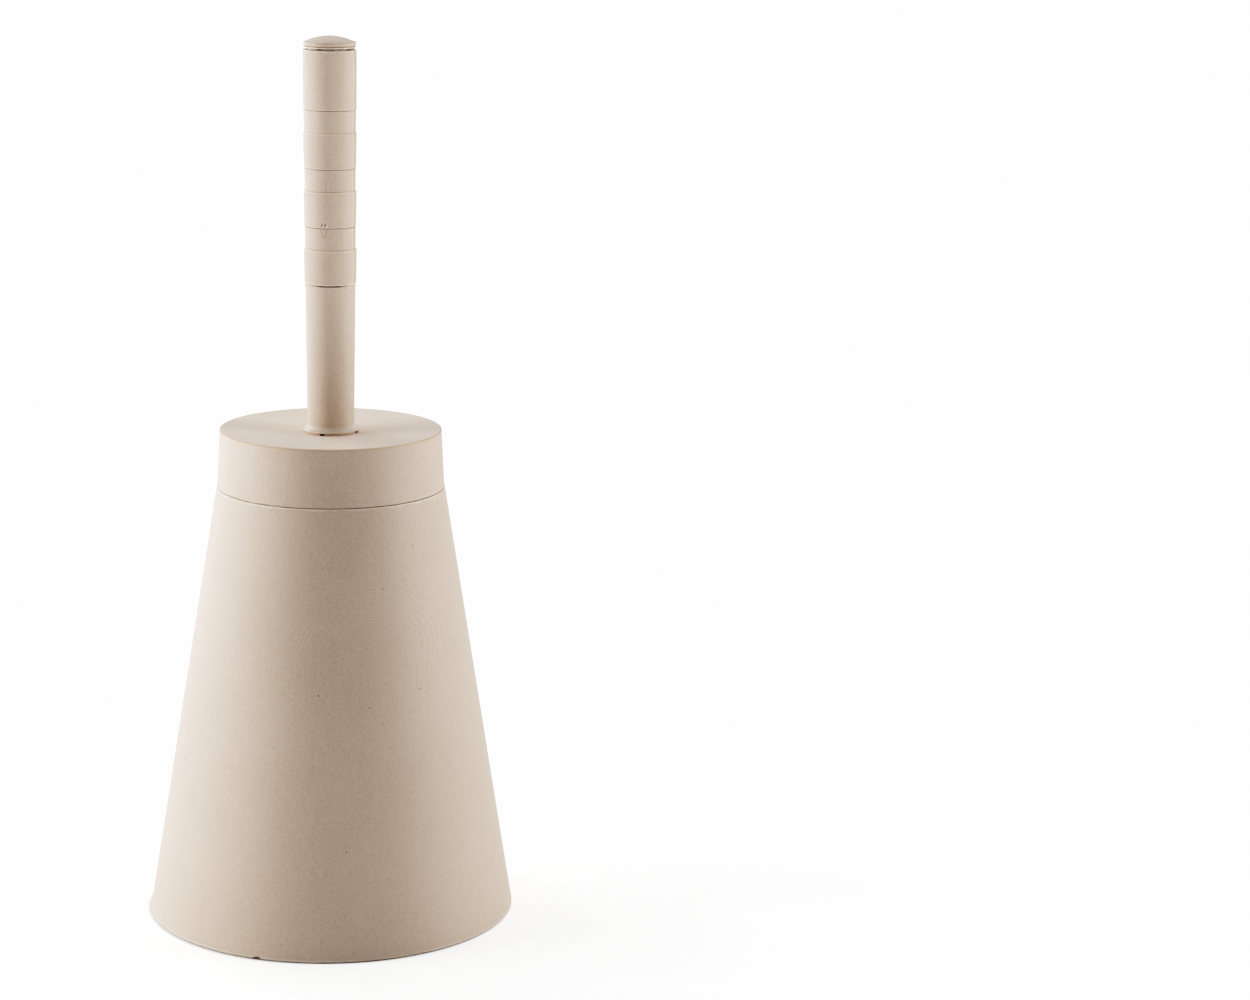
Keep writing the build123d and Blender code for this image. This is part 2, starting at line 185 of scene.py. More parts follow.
def plastic(name, painted_light_bands=(), flow=False, streaks=0.0, tone=1.0, rough=0.52, seed=0.0, specks=True,
            parting=None, marks=(), soft=0.0):
    """Matt moulded plastic. Bands of painted light and shade, each (z low, z high, r low, r high, colour, strength,
    patchiness) in millimetres: painted highlights, painted shade in gaps and under lips, a painted edge glow and a
    painted reflection. parting: bearing of the mould's parting line, in degrees; a painted highlight runs beside it.
    marks: small defects, each (x, y, z, half width, half height, half depth, slant, colour, strength) in millimetres;
    the pale ones are painted highlights and the stem's half-moon is painted shade. soft: how much light spreads
    under the surface."""
    mat = bpy.data.materials.new(name)
    t = Tree(mat)
    coord = t.node("ShaderNodeTexCoord")
    sep = t.node("ShaderNodeSeparateXYZ")
    t.link(coord.outputs["Object"], sep.inputs[0])
    x, y, z = sep.outputs
    shift = t.node("ShaderNodeMapping", inputs={"Location": (seed, seed * 0.37, seed * 0.71)})
    t.link(coord.outputs["Object"], shift.inputs["Vector"])
    vec = shift.outputs[0]

    broad = t.node("ShaderNodeTexNoise", inputs={"Scale": 22.0, "Detail": 3.0, "Roughness": 0.55})
    t.link(vec, broad.inputs["Vector"])
    grain = t.node("ShaderNodeTexNoise", inputs={"Scale": 900.0, "Detail": 2.0, "Roughness": 0.6})
    t.link(vec, grain.inputs["Vector"])
    mottle = t.node("ShaderNodeTexNoise", inputs={"Scale": 1050.0, "Detail": 3.0, "Roughness": 0.75})
    t.link(vec, mottle.inputs["Vector"])
    fine = t.node("ShaderNodeTexNoise", inputs={"Scale": 3800.0, "Detail": 1.0, "Roughness": 0.5})
    t.link(vec, fine.inputs["Vector"])

    base = tuple(c * tone for c in BEIGE)
    light = tuple(min(1.0, c * tone * 1.06) for c in BEIGE)
    dark = tuple(c * tone * k for c, k in zip(BEIGE, (0.955, 0.945, 0.93)))
    col = t.mix(t.ramp(broad.outputs[0], 0.3, 0.7), dark, light)
    col = t.mix(0.55, base, col)
    col = t.mix(t.ramp(grain.outputs[0], 0.35, 0.75, 0.0, 0.30), col, dark)
    col = t.mix(t.ramp(mottle.outputs[0], 0.5, 0.30, 0.0, 0.75), col, tuple(c * 0.90 for c in dark))
    col = t.mix(t.ramp(mottle.outputs[0], 0.5, 0.70, 0.0, 0.75), col, tuple(min(1.0, c * 1.07) for c in light))
    height = t.math("ADD", t.math("MULTIPLY", grain.outputs[0], 0.35), t.math("MULTIPLY", fine.outputs[0], 0.5))

    if streaks > 0.0:
        stretch = t.node("ShaderNodeMapping", inputs={"Scale": (420.0, 420.0, 9.0)})
        t.link(vec, stretch.inputs["Vector"])
        lines = t.node("ShaderNodeTexNoise", inputs={"Scale": 1.0, "Detail": 3.0, "Roughness": 0.6, "Distortion": 0.4})
        t.link(stretch.outputs[0], lines.inputs["Vector"])
        col = t.mix(t.ramp(lines.outputs[0], 0.45, 0.8, 0.0, streaks), col, light)
        col = t.mix(t.ramp(lines.outputs[0], 0.5, 0.2, 0.0, streaks * 0.8), col, dark)

    if flow:
        # nested arches left by the melt on the front of the cone
        warp = t.node("ShaderNodeTexNoise", inputs={"Scale": 30.0, "Detail": 3.0, "Roughness": 0.55})
        t.link(vec, warp.inputs["Vector"])
        wob = t.math("MULTIPLY", t.math("SUBTRACT", warp.outputs[0], 0.5), 0.0095)
        patch = t.node("ShaderNodeTexNoise", inputs={"Scale": 60.0, "Detail": 2.0, "Roughness": 0.5})
        t.link(vec, patch.inputs["Vector"])
        gate = t.ramp(patch.outputs[0], 0.42, 0.60, 0.05, 1.0)
        front = t.ramp(y, 0.0, -0.030)
        for cx, z0, r_lo, r_hi, pitch, z_end, strength in ARCHES:
            dx = t.math("SUBTRACT", x, cx)
            dz = t.math("MAXIMUM", t.math("SUBTRACT", z, z0), 0.0)
            rad = t.math("SQRT", t.math("ADD", t.math("MULTIPLY", dx, dx), t.math("MULTIPLY", dz, dz)))
            rad = t.math("ADD", rad, wob)
            wave = t.math("SINE", t.math("MULTIPLY", rad, 2 * math.pi / pitch))
            inside = t.math("MULTIPLY", t.ramp(rad, r_lo - 0.0012, r_lo + 0.0008), t.ramp(rad, r_hi + 0.0012, r_hi - 0.0008))
            inside = t.math("MULTIPLY", inside, t.math("MULTIPLY", front, t.ramp(z, z_end - 0.006, z_end + 0.010)))
            inside = t.math("MULTIPLY", inside, t.math("MULTIPLY", gate, strength))
            lit = t.math("MULTIPLY", t.math("POWER", t.ramp(wave, 0.1, 1.0), 2.0), inside)
            low = t.math("MULTIPLY", t.math("POWER", t.ramp(wave, -0.1, -1.0), 2.0), inside)
            col = t.mix(t.math("MULTIPLY", lit, 0.34), col, tuple(min(1.0, c * 1.18) for c in BEIGE))
            col = t.mix(t.math("MULTIPLY", low, 0.22), col, tuple(c * 0.84 for c in BEIGE))
            height = t.math("ADD", height, t.math("MULTIPLY", lit, 0.8))

    if specks:
        vor = t.node("ShaderNodeTexVoronoi", feature="F1", inputs={"Scale": 46.0, "Randomness": 1.0})
        t.link(vec, vor.inputs["Vector"])
        vsep = t.node("ShaderNodeSeparateColor")
        t.link(vor.outputs["Color"], vsep.inputs[0])
        rare = t.ramp(vsep.outputs[0], 0.93, 0.95)
        size = t.ramp(vsep.outputs[1], 0.0, 1.0, 0.010, 0.026, smooth=False)
        dot = t.math("SUBTRACT", size, vor.outputs["Distance"])
        dot = t.math("MULTIPLY", t.ramp(dot, 0.0, 0.006), rare)
        col = t.mix(t.math("MULTIPLY", dot, 0.62), col, (0.16, 0.11, 0.08))

    r2 = t.math("ADD", t.math("MULTIPLY", x, x), t.math("MULTIPLY", y, y))
    rr = t.math("SQRT", r2)
    blot = t.node("ShaderNodeTexNoise", inputs={"Scale": 330.0, "Detail": 2.0, "Roughness": 0.6})
    t.link(vec, blot.inputs["Vector"])
    # Bands of painted highlight and painted shade laid on the colour.
    for zl, zh, rl, rh, colour, strength, patch in painted_light_bands:
        e = 0.12 * MM
        m = t.math("MULTIPLY", t.ramp(z, zl * MM - e, zl * MM + e), t.ramp(z, zh * MM + e, zh * MM - e))
        m = t.math("MULTIPLY", m, t.math("MULTIPLY", t.ramp(rr, rl * MM - e, rl * MM + e), t.ramp(rr, rh * MM + e, rh * MM - e)))
        uneven = t.ramp(broad.outputs[0], 0.3, 0.7, 0.65, 1.0)
        if patch > 0.0:
            level = 0.36 + 0.26 * patch
            uneven = t.ramp(blot.outputs[0], level - 0.05, level + 0.05)
        col = t.mix(t.math("MULTIPLY", m, t.math("MULTIPLY", uneven, strength)), col, colour)

    if parting is not None:
        b = math.radians(parting)
        off = t.math("SUBTRACT", t.math("MULTIPLY", y, math.cos(b)), t.math("MULTIPLY", x, math.sin(b)))
        line = t.ramp(t.math("ABSOLUTE", off), 0.50 * MM, 0.28 * MM)
        broken = t.ramp(blot.outputs[0], 0.34, 0.50, 0.35, 1.0)
        line = t.math("MULTIPLY", line, broken)
        col = t.mix(t.math("MULTIPLY", line, 0.80), col, (0.50, 0.29, 0.13))
        # A pale line beside the brown parting line: a painted highlight where the ridge catches the light.
        rim = t.ramp(t.math("ABSOLUTE", t.math("ADD", off, 0.95 * MM)), 0.45 * MM, 0.15 * MM)
        col = t.mix(t.math("MULTIPLY", rim, 0.45), col, HIGHLIGHT_PALE)
        height = t.math("ADD", height, t.math("MULTIPLY", line, 1.5))

    # Defect marks; the pale ones are painted highlights and the stem's half-moon is painted shade.
    for mx, my, mz, hw, hh, hd, slant, colour, strength in marks:
        ax = t.math("SUBTRACT", x, mx * MM)
        az = t.math("SUBTRACT", z, mz * MM)
        c, sn = math.cos(math.radians(slant)), math.sin(math.radians(slant))
        ex = t.math("DIVIDE", t.math("ADD", t.math("MULTIPLY", ax, c), t.math("MULTIPLY", az, sn)), hw * MM)
        ez = t.math("DIVIDE", t.math("SUBTRACT", t.math("MULTIPLY", az, c), t.math("MULTIPLY", ax, sn)), hh * MM)
        ey = t.math("DIVIDE", t.math("SUBTRACT", y, my * MM), hd * MM)
        q = t.math("ADD", t.math("MULTIPLY", ex, ex), t.math("MULTIPLY", ez, ez))
        q = t.math("ADD", q, t.math("MULTIPLY", ey, ey))
        q = t.math("ADD", q, t.math("MULTIPLY", t.math("SUBTRACT", blot.outputs[0], 0.5), 0.7))
        m = t.ramp(q, 1.25, 0.55)
        col = t.mix(t.math("MULTIPLY", m, strength), col, colour)
        height = t.math("SUBTRACT", height, t.math("MULTIPLY", m, 2.0 * strength))

    bsdf = t.node("ShaderNodeBsdfPrincipled")
    bsdf.inputs["IOR"].default_value = 1.46
    bsdf.inputs["Specular IOR Level"].default_value = 0.5
    bsdf.inputs["Sheen Weight"].default_value = 0.10
    bsdf.inputs["Sheen Roughness"].default_value = 0.5
    if soft > 0.0:
        bsdf.inputs["Subsurface Weight"].default_value = soft
        bsdf.inputs["Subsurface Radius"].default_value = (1.0, 0.85, 0.7)
        bsdf.inputs["Subsurface Scale"].default_value = 0.004
    t.link(col, bsdf.inputs["Base Color"])
    t.link(t.ramp(grain.outputs[0], 0.2, 0.8, rough - 0.05, rough + 0.07), bsdf.inputs["Roughness"])
    bump = t.node("ShaderNodeBump", inputs={"Strength": 0.22, "Distance": 0.00006})
    t.link(height, bump.inputs["Height"])
    t.link(bump.outputs[0], bsdf.inputs["Normal"])
    out = t.node("ShaderNodeOutputMaterial")
    t.link(bsdf.outputs[0], out.inputs[0])
    return mat


def give(node, mat):
    o = nodes[node]
    o.data.materials.clear()
    o.data.materials.append(mat)


SPECK = (0.10, 0.07, 0.05)
# Cone: a painted highlight on the shoulder edge just below the seam, tan painted shade in the seam gap, patchy painted
# highlights below the seam, a painted highlight on the foot's edge and brown painted shade along its bottom edge. The
# specks and the chip at the foot are the plastic's own.
m_cone = plastic("moulded_cone", flow=True, streaks=0.25, seed=0.0,
                 painted_light_bands=[(184.45, 184.84, 47.7, 48.6, HIGHLIGHT_PALE, 0.9, 0.0), (184.86, 185.5, 46.9, 48.2, TAN, 0.75, 0.0),
                             (183.9, 184.7, 47.7, 48.6, HIGHLIGHT_PALE, 0.45, 0.55), (0.55, 1.15, 76.5, 78.2, HIGHLIGHT_PALE, 0.75, 0.0), (-0.1, 0.38, 76.0, 78.2, (0.40, 0.26, 0.15), 0.70, 0.0)],
                 marks=[(0.2, -60.3, 109.4, 0.30, 0.42, 1.0, 0, SPECK, 0.85), (20.9, -57.5, 103.7, 0.34, 0.30, 1.0, 0, SPECK, 0.75),
                        (40.9, -44.4, 108.8, 0.30, 0.36, 1.2, 0, SPECK, 0.75), (25.4, -47.0, 151.7, 0.34, 0.34, 1.0, 0, SPECK, 0.7),
                        (36.9, -35.0, 167.4, 0.28, 0.34, 1.2, 0, SPECK, 0.7), (12.3, -69.5, 45.5, 0.34, 0.34, 1.0, 0, SPECK, 0.7),
                        (-24.6, -73.9, 0.45, 1.9, 0.60, 1.6, 6, (0.10, 0.055, 0.03), 0.95)])
# Lid: the whole top face is painted lighter and cooler, a painted reflection of the bright surroundings; a tan painted
# edge glow runs along the rounded top edge; a tan band at the rim's foot is painted shade in the seam gap.
m_lid = plastic("moulded_lid", seed=1.7, streaks=0.15,
                painted_light_bands=[(207.9, 209.8, 11.4, 46.2, (0.705, 0.585, 0.492), 1.0, 0.0), (208.9, 209.6, 46.05, 46.85, TAN, 0.75, 0.0), (184.9, 185.3, 46.2, 48.0, TAN, 0.55, 0.0)])
m_base = plastic("moulded_base", seed=3.1)
# Neck: tan painted shade on the strip under the flange's lip, near-black painted shade inside the notches, painted
# highlights on the flange's rim, on its upward-facing cove and on the neck's top edge, and dark painted shade in the
# gap under the grip.
m_neck = plastic("moulded_neck", seed=4.3, tone=0.88, streaks=0.3,
                 painted_light_bands=[(207.7, 208.93, 11.0, 11.3, TAN, 0.75, 0.0), (207.7, 209.0, 9.5, 10.98, (0.03, 0.02, 0.012), 0.95, 0.0),
                             (209.0, 209.75, 10.9, 11.6, HIGHLIGHT_PALE, 0.45, 0.0), (209.7, 211.3, 9.95, 11.1, HIGHLIGHT_PALE, 0.30, 0.0),
                             (270.55, 270.75, 9.0, 10.6, HIGHLIGHT_PALE, 0.4, 0.0),
                             (270.62, 271.5, 9.0, 9.6, (0.16, 0.09, 0.045), 0.9, 0.0)])
# Grip: painted highlights on the top chamfer, the bottom edge, the top edges of the wide bands and just above each
# overhang's lower edge; patchy dark painted shade in the gap under the cap, tan painted shade in the step above each
# wide band and dark painted shade under each overhang. Marks: a dented defect near z 291-297 with dark spots and brown
# streaks, its pale spots painted highlights; a streak near z 313 drawn as a brown line beside a pale painted
# highlight.
m_grip = plastic("moulded_grip", seed=5.9, tone=0.88, streaks=0.3, parting=-18.5,
                 painted_light_bands=[(367.4, 368.1, 10.7, 11.3, HIGHLIGHT_PALE, 0.85, 0.0), (367.8, 368.1, 9.2, 10.85, (0.17, 0.085, 0.035), 0.95, 0.30),
                             (271.25, 271.75, 10.3, 11.3, HIGHLIGHT_PALE, 0.8, 0.0),
                             (285.35, 285.85, 10.7, 11.3, HIGHLIGHT_PALE, 0.75, 0.0), (309.55, 310.05, 10.7, 11.3, HIGHLIGHT_PALE, 0.75, 0.0),
                             (333.75, 334.25, 10.7, 11.3, HIGHLIGHT_PALE, 0.75, 0.0),
                             (285.8, 286.05, 10.3, 10.62, TAN, 0.7, 0.0), (310.0, 310.25, 10.3, 10.62, TAN, 0.7, 0.0),
                             (334.2, 334.45, 10.3, 10.80, TAN, 0.7, 0.0),
                             (295.2, 295.6, 10.55, 11.3, HIGHLIGHT_PALE, 0.6, 0.0), (319.4, 319.8, 10.55, 11.3, HIGHLIGHT_PALE, 0.6, 0.0),
                             (343.6, 344.0, 10.8, 11.3, HIGHLIGHT_PALE, 0.6, 0.0),
                             (294.95, 295.32, 10.2, 10.60, (0.24, 0.15, 0.09), 0.7, 0.0), (319.15, 319.52, 10.2, 10.64, (0.24, 0.15, 0.09), 0.7, 0.0),
                             (343.35, 343.72, 10.4, 10.82, (0.24, 0.15, 0.09), 0.7, 0.0)],
                 marks=[(-2.45, -10.6, 296.6, 0.24, 0.80, 1.5, -38, (0.07, 0.045, 0.03), 0.95),
                        (-1.15, -10.7, 296.6, 0.24, 0.62, 1.5, -38, (0.07, 0.045, 0.03), 0.95),
                        (-0.30, -10.8, 296.2, 0.36, 0.50, 1.5, -30, HIGHLIGHT_PALE, 0.8),
                        (-1.85, -10.6, 296.7, 0.26, 0.60, 1.5, -38, HIGHLIGHT_PALE, 0.7),
                        (-2.75, -10.4, 293.6, 0.17, 1.7, 1.5, 20, (0.34, 0.22, 0.13), 0.80),
                        (-1.95, -10.5, 291.6, 0.17, 0.9, 1.5, 42, (0.34, 0.22, 0.13), 0.70),
                        (-0.75, -10.6, 293.1, 0.17, 2.2, 1.5, -14, (0.34, 0.22, 0.13), 0.65),
                        (-0.64, -10.9, 313.3, 0.16, 2.6, 1.5, 0, (0.34, 0.24, 0.15), 0.45),
                        (0.15, -10.9, 313.0, 0.16, 2.2, 1.5, 0, HIGHLIGHT_PALE, 0.45)])
# Cap: a painted highlight on the ring under the rim, patchy dark painted shade in the gap below it, dark painted shade
# in the recess just above it, and faint tan painted shade across the middle of the rim.
m_cap = plastic("moulded_cap", seed=7.3, tone=0.87,
                painted_light_bands=[(368.8, 369.25, 10.3, 10.75, HIGHLIGHT_PALE, 0.8, 0.0), (368.7, 368.86, 9.0, 10.55, (0.12, 0.07, 0.035), 0.9, 0.30),
                            (369.2, 369.6, 10.0, 10.3, (0.22, 0.13, 0.07), 0.85, 0.0), (369.9, 370.9, 10.8, 11.0, TAN, 0.22, 0.0)])
# Stem: a brass-coloured painted glint round the collar where the nubs sit. The gate mark is a dark disc half covered
# by a plain one, a half-moon of painted shade in its small dent.
m_stem = plastic("moulded_stem", seed=8.8, streaks=0.3,
                 painted_light_bands=[(205.3, 206.5, 12.43, 12.9, (0.95, 0.80, 0.55), 0.9, 0.0)],
                 marks=[(-0.84, -5.96, 149.6, 1.0, 1.0, 2.0, 0, (0.36, 0.26, 0.18), 0.7),
                        (-0.60, -5.96, 149.85, 0.85, 0.85, 2.0, 0, BEIGE, 1.0)])
# The core is painted 1.42 times lighter than the rest of the plastic, a painted highlight making up for the light the
# tufts keep off it.
m_core = plastic("moulded_core", seed=9.9, tone=1.42, rough=0.36, specks=False)
m_flash = plastic("moulded_flash", seed=11.3, tone=1.12, specks=False)

give("holder_cone", m_cone)
give("holder_base", m_base)
give("lid_cap", m_lid)
give("handle_neck", m_neck)
give("handle_grip", m_grip)
give("handle_end_cap", m_cap)
give("brush_stem", m_stem)
give("head_core", m_core)


# ---------------------------------------------------------------------------
# Moulding flash: thin uneven slivers left along the joints
# ---------------------------------------------------------------------------
def flash(name, body, mat, spans, seed):
    """Closed curved slivers. spans: (start, end, z low, z high, r inner, r outer, unevenness) in degrees and mm."""
    r = random.Random(seed)
    verts, faces = [], []
    for a0, a1, zl, zh, ri, ro, jag in spans:
        steps = max(4, int(abs(a1 - a0) / 1.2))
        first = len(verts)
        for k in range(steps + 1):
            a = math.radians(a0 + (a1 - a0) * k / steps)
            taper = math.sin(math.pi * (k + 0.35) / (steps + 0.7)) ** 0.5
            top = zl + (zh - zl) * taper * (1.0 - jag * r.random())
            out = ri + (ro - ri) * taper * (1.0 - jag * r.random())
            mid = zl + (top - zl) * r.uniform(0.35, 0.65)
            for rad, zz in ((ri, zl), (out - 0.25 * (out - ri), zl), (out, mid), (out - 0.3 * (out - ri), top), (ri, top)):
                verts.append((rad * math.cos(a) * MM, rad * math.sin(a) * MM, zz * MM))
        for k in range(steps):
            q, p = first + 5 * k, first + 5 * (k + 1)
            for j in range(5):
                j2 = (j + 1) % 5
                faces.append((q + j, p + j, p + j2, q + j2))
        faces.append(tuple(first + j for j in range(5)))
        faces.append(tuple(first + 5 * steps + j for j in reversed(range(5))))
    mesh = bpy.data.meshes.new(name)
    mesh.from_pydata(verts, [], faces)
    mesh.materials.append(mat)
    mesh.update()
    bm = bmesh.new()
    bm.from_mesh(mesh)
    bmesh.ops.recalc_face_normals(bm, faces=bm.faces)
    bm.to_mesh(mesh)
    bm.free()
    obj = bpy.data.objects.new(name, mesh)
    scene.collection.objects.link(obj)
    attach(obj, body)
    return obj


def scatter(seed, count, lo, hi, size_lo, size_hi):
    r = random.Random(seed)
    out = []
    for _ in range(count):
        a = r.uniform(lo, hi)
        out.append((a, a + r.uniform(size_lo, size_hi)))
    return out


flash("flash_under_cap", "brush", m_flash,
      [(a, b, 367.94, 368.79, 9.6, 10.66, 0.40) for a, b in scatter(61, 15, -180, 180, 3.0, 11.0)], 62)
flash("flash_grip_foot", "brush", m_flash,
      [(-66, 60, 270.60, 271.22, 9.6, 10.44, 0.12), (60, 178, 270.60, 271.22, 9.6, 10.44, 0.12),
       (180, 249, 270.60, 271.20, 9.6, 10.42, 0.20)], 63)
flash("flash_lid_seam", "lid", m_flash,
      [(a, b, 184.94, 185.75, 47.2, 48.45, 0.5) for a, b in scatter(64, 11, -146, -104, 0.8, 2.4)]
      + [(a, b, 184.94, 185.25, 47.2, 48.05, 0.5) for a, b in scatter(65, 9, -180, 180, 0.8, 2.0)], 66)


# ---------------------------------------------------------------------------
# Staples: drawn brass wire
# ---------------------------------------------------------------------------
def staple_metal():
    mat = bpy.data.materials.new("staple_metal")
    t = Tree(mat)
    coord = t.node("ShaderNodeTexCoord")
    n = t.node("ShaderNodeTexNoise", inputs={"Scale": 1600.0, "Detail": 3.0, "Roughness": 0.6})
    t.link(coord.outputs["Object"], n.inputs["Vector"])
    col = t.mix(t.ramp(n.outputs[0], 0.35, 0.65), (0.52, 0.40, 0.20), (0.70, 0.58, 0.34))
    bsdf = t.node("ShaderNodeBsdfPrincipled")
    bsdf.inputs["Metallic"].default_value = 1.0
    t.link(col, bsdf.inputs["Base Color"])
    t.link(t.ramp(n.outputs[0], 0.2, 0.8, 0.28, 0.5), bsdf.inputs["Roughness"])
    bump = t.node("ShaderNodeBump", inputs={"Strength": 0.3, "Distance": 0.00003})
    t.link(n.outputs[0], bump.inputs["Height"])
    t.link(bump.outputs[0], bsdf.inputs["Normal"])
    out = t.node("ShaderNodeOutputMaterial")
    t.link(bsdf.outputs[0], out.inputs[0])
    return mat


give("tuft_anchors", staple_metal())


# ---------------------------------------------------------------------------
# Bristles: every tuft is a bundle of separate cut filaments
# ---------------------------------------------------------------------------
def bristle_material():
    mat = bpy.data.materials.new("bristle_fibre")
    t = Tree(mat)
    shade = t.node("ShaderNodeAttribute", attribute_name="shade")
    tip = t.node("ShaderNodeAttribute", attribute_name="tip")
    coord = t.node("ShaderNodeTexCoord")
    n = t.node("ShaderNodeTexNoise", inputs={"Scale": 2600.0, "Detail": 2.0, "Roughness": 0.6})
    t.link(coord.outputs["Object"], n.inputs["Vector"])
    col = t.mix(shade.outputs["Fac"], (0.27, 0.225, 0.18), (0.56, 0.49, 0.40))
    col = t.mix(t.ramp(n.outputs[0], 0.35, 0.75, 0.0, 0.35), col, (0.58, 0.51, 0.43))
    col = t.mix(t.ramp(tip.outputs["Fac"], 0.975, 0.998, 0.0, 0.85), col, (0.80, 0.75, 0.67))
    bsdf = t.node("ShaderNodeBsdfPrincipled")
    bsdf.inputs["IOR"].default_value = 1.53
    bsdf.inputs["Specular IOR Level"].default_value = 0.55
    t.link(col, bsdf.inputs["Base Color"])
    t.link(t.ramp(n.outputs[0], 0.2, 0.8, 0.34, 0.50), bsdf.inputs["Roughness"])
    bump = t.node("ShaderNodeBump", inputs={"Strength": 0.25, "Distance": 0.00004})
    t.link(n.outputs[0], bump.inputs["Height"])
    t.link(bump.outputs[0], bsdf.inputs["Normal"])
    out = t.node("ShaderNodeOutputMaterial")
    t.link(bsdf.outputs[0], out.inputs[0])
    return mat


NOSE_Z = 52.0
ROWS = [
    ("bristle_row_nose", NOSE_Z, 90.0, 1, 0.0),
    ("bristle_row_1", NOSE_Z, 63.0, 6, 12.0),
    ("bristle_row_2", NOSE_Z, 37.0, 11, 4.0),
    ("bristle_row_3", NOSE_Z, 12.0, 13, 0.0),
    ("bristle_row_4", 60.5, 0.0, 13, 180.0 / 13),
    ("bristle_row_5", 70.5, -6.0, 13, 0.0),
    ("bristle_row_6", 80.0, -14.0, 13, 180.0 / 13),
]
ROOT_R = 12.55    # distance from the fan centre where the filaments start, in the socket
TIP_R = 37.0
FILAMENTS = 54
SIDES = 6
RINGS = 7


def tuft_dirs(zc, down, count, start):
    for i in range(count):
        a = math.radians(start + 360.0 * i / count)
        e = math.radians(down)
        d = Vector((math.cos(e) * math.cos(a), math.cos(e) * math.sin(a), -math.sin(e)))
        u = Vector((-math.sin(a), math.cos(a), 0.0))
        yield Vector((0.0, 0.0, zc)), d, u, d.cross(u)


def filament(verts, faces, shades, tips, pts, radius, shade, twist, cut):
    """One round filament through pts, closed at both ends, its cut end slightly tilted."""
    start = len(verts)
    n = len(pts)
    for k in range(n):
        a = pts[max(k - 1, 0)]
        b = pts[min(k + 1, n - 1)]
        d = (b - a).normalized()
        side = d.cross(Vector((0.31, 0.17, 0.93)))
        if side.length < 1e-4:
            side = d.cross(Vector((1.0, 0.0, 0.0)))
        side.normalize()
        other = d.cross(side)
        for s in range(SIDES):
            ang = twist + 2 * math.pi * s / SIDES
            off = side * math.cos(ang) + other * math.sin(ang)
            p = pts[k] + off * radius
            if k == n - 1:
                p = p + d * (radius * cut * math.cos(ang))
            verts.append(p * MM)
            shades.append(shade)
            tips.append(k / (n - 1))
    for k in range(n - 1):
        r0 = start + k * SIDES
        r1 = r0 + SIDES
        for s in range(SIDES):
            s2 = (s + 1) % SIDES
            faces.append((r0 + s, r0 + s2, r1 + s2, r1 + s))
    faces.append(tuple(start + s for s in reversed(range(SIDES))))
    last = start + (n - 1) * SIDES
    faces.append(tuple(last + s for s in range(SIDES)))


def bristle_row(name, zc, down, count, start, rng, mat):
    verts, faces, shades, tips = [], [], [], []
    for centre, d, u, w in tuft_dirs(zc, down, count, start):
        lean = (rng.uniform(-0.05, 0.05), rng.uniform(-0.05, 0.05))
        grow = rng.uniform(-0.8, 0.5)
        spread = rng.uniform(4.9, 5.6)
        for i in range(FILAMENTS):
            q = (i + 0.5) / FILAMENTS
            rad = math.sqrt(q)
            ang = i * 2.399963 + rng.uniform(-0.35, 0.35)
            stray = rng.random() < 0.09
            rad_tip = min(1.0, rad * rng.uniform(0.82, 1.12)) * spread * (1.22 if stray else 1.0)
            ang_tip = ang + rng.uniform(-0.6, 0.6)
            root = (u * math.cos(ang) + w * math.sin(ang)) * (rad * 1.88)
            end_off = (u * math.cos(ang_tip) + w * math.sin(ang_tip)) * rad_tip
            end_off = end_off + (u * lean[0] + w * lean[1]) * 22.0
            reach = TIP_R + grow + rng.uniform(-0.7, 0.55) - 0.020 * rad_tip * rad_tip
            if rng.random() < 0.04:
                reach -= rng.uniform(1.5, 5.0)
            p0 = centre + d * ROOT_R + root
            p1 = centre + d * 15.2 + root * 1.10
            p3 = centre + d * reach + end_off
            bend = (u * rng.gauss(0, 1) + w * rng.gauss(0, 1)) * (1.0 if stray else 0.5)
            mid = p1.lerp(p3, 0.5) + bend - end_off * 0.045
            pts = [p0]
            for k in range(RINGS - 1):
                s = k / (RINGS - 2)
                a = p1.lerp(mid, s)
                b = mid.lerp(p3, s)
                pts.append(a.lerp(b, s))
            filament(verts, faces, shades, tips, pts, rng.uniform(0.265, 0.310),
                     rng.random() ** 1.6, rng.uniform(0, 1.0), rng.uniform(-0.7, 0.7))
    mesh = bpy.data.meshes.new(name + "_fibres")
    mesh.from_pydata([tuple(v) for v in verts], [], faces)
    for attr, values in (("shade", shades), ("tip", tips)):
        a = mesh.attributes.new(attr, "FLOAT", "POINT")
        a.data.foreach_set("value", values)
    for p in mesh.polygons:
        p.use_smooth = len(p.vertices) == 4
    mesh.materials.append(mat)
    mesh.update()
    obj = bpy.data.objects.new(name + "_fibres", mesh)
    scene.collection.objects.link(obj)
    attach(obj, "brush")
    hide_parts(name)
    return obj


fibre = bristle_material()
rng = random.Random(4117)
for row in ROWS:
    bristle_row(*row, rng, fibre)


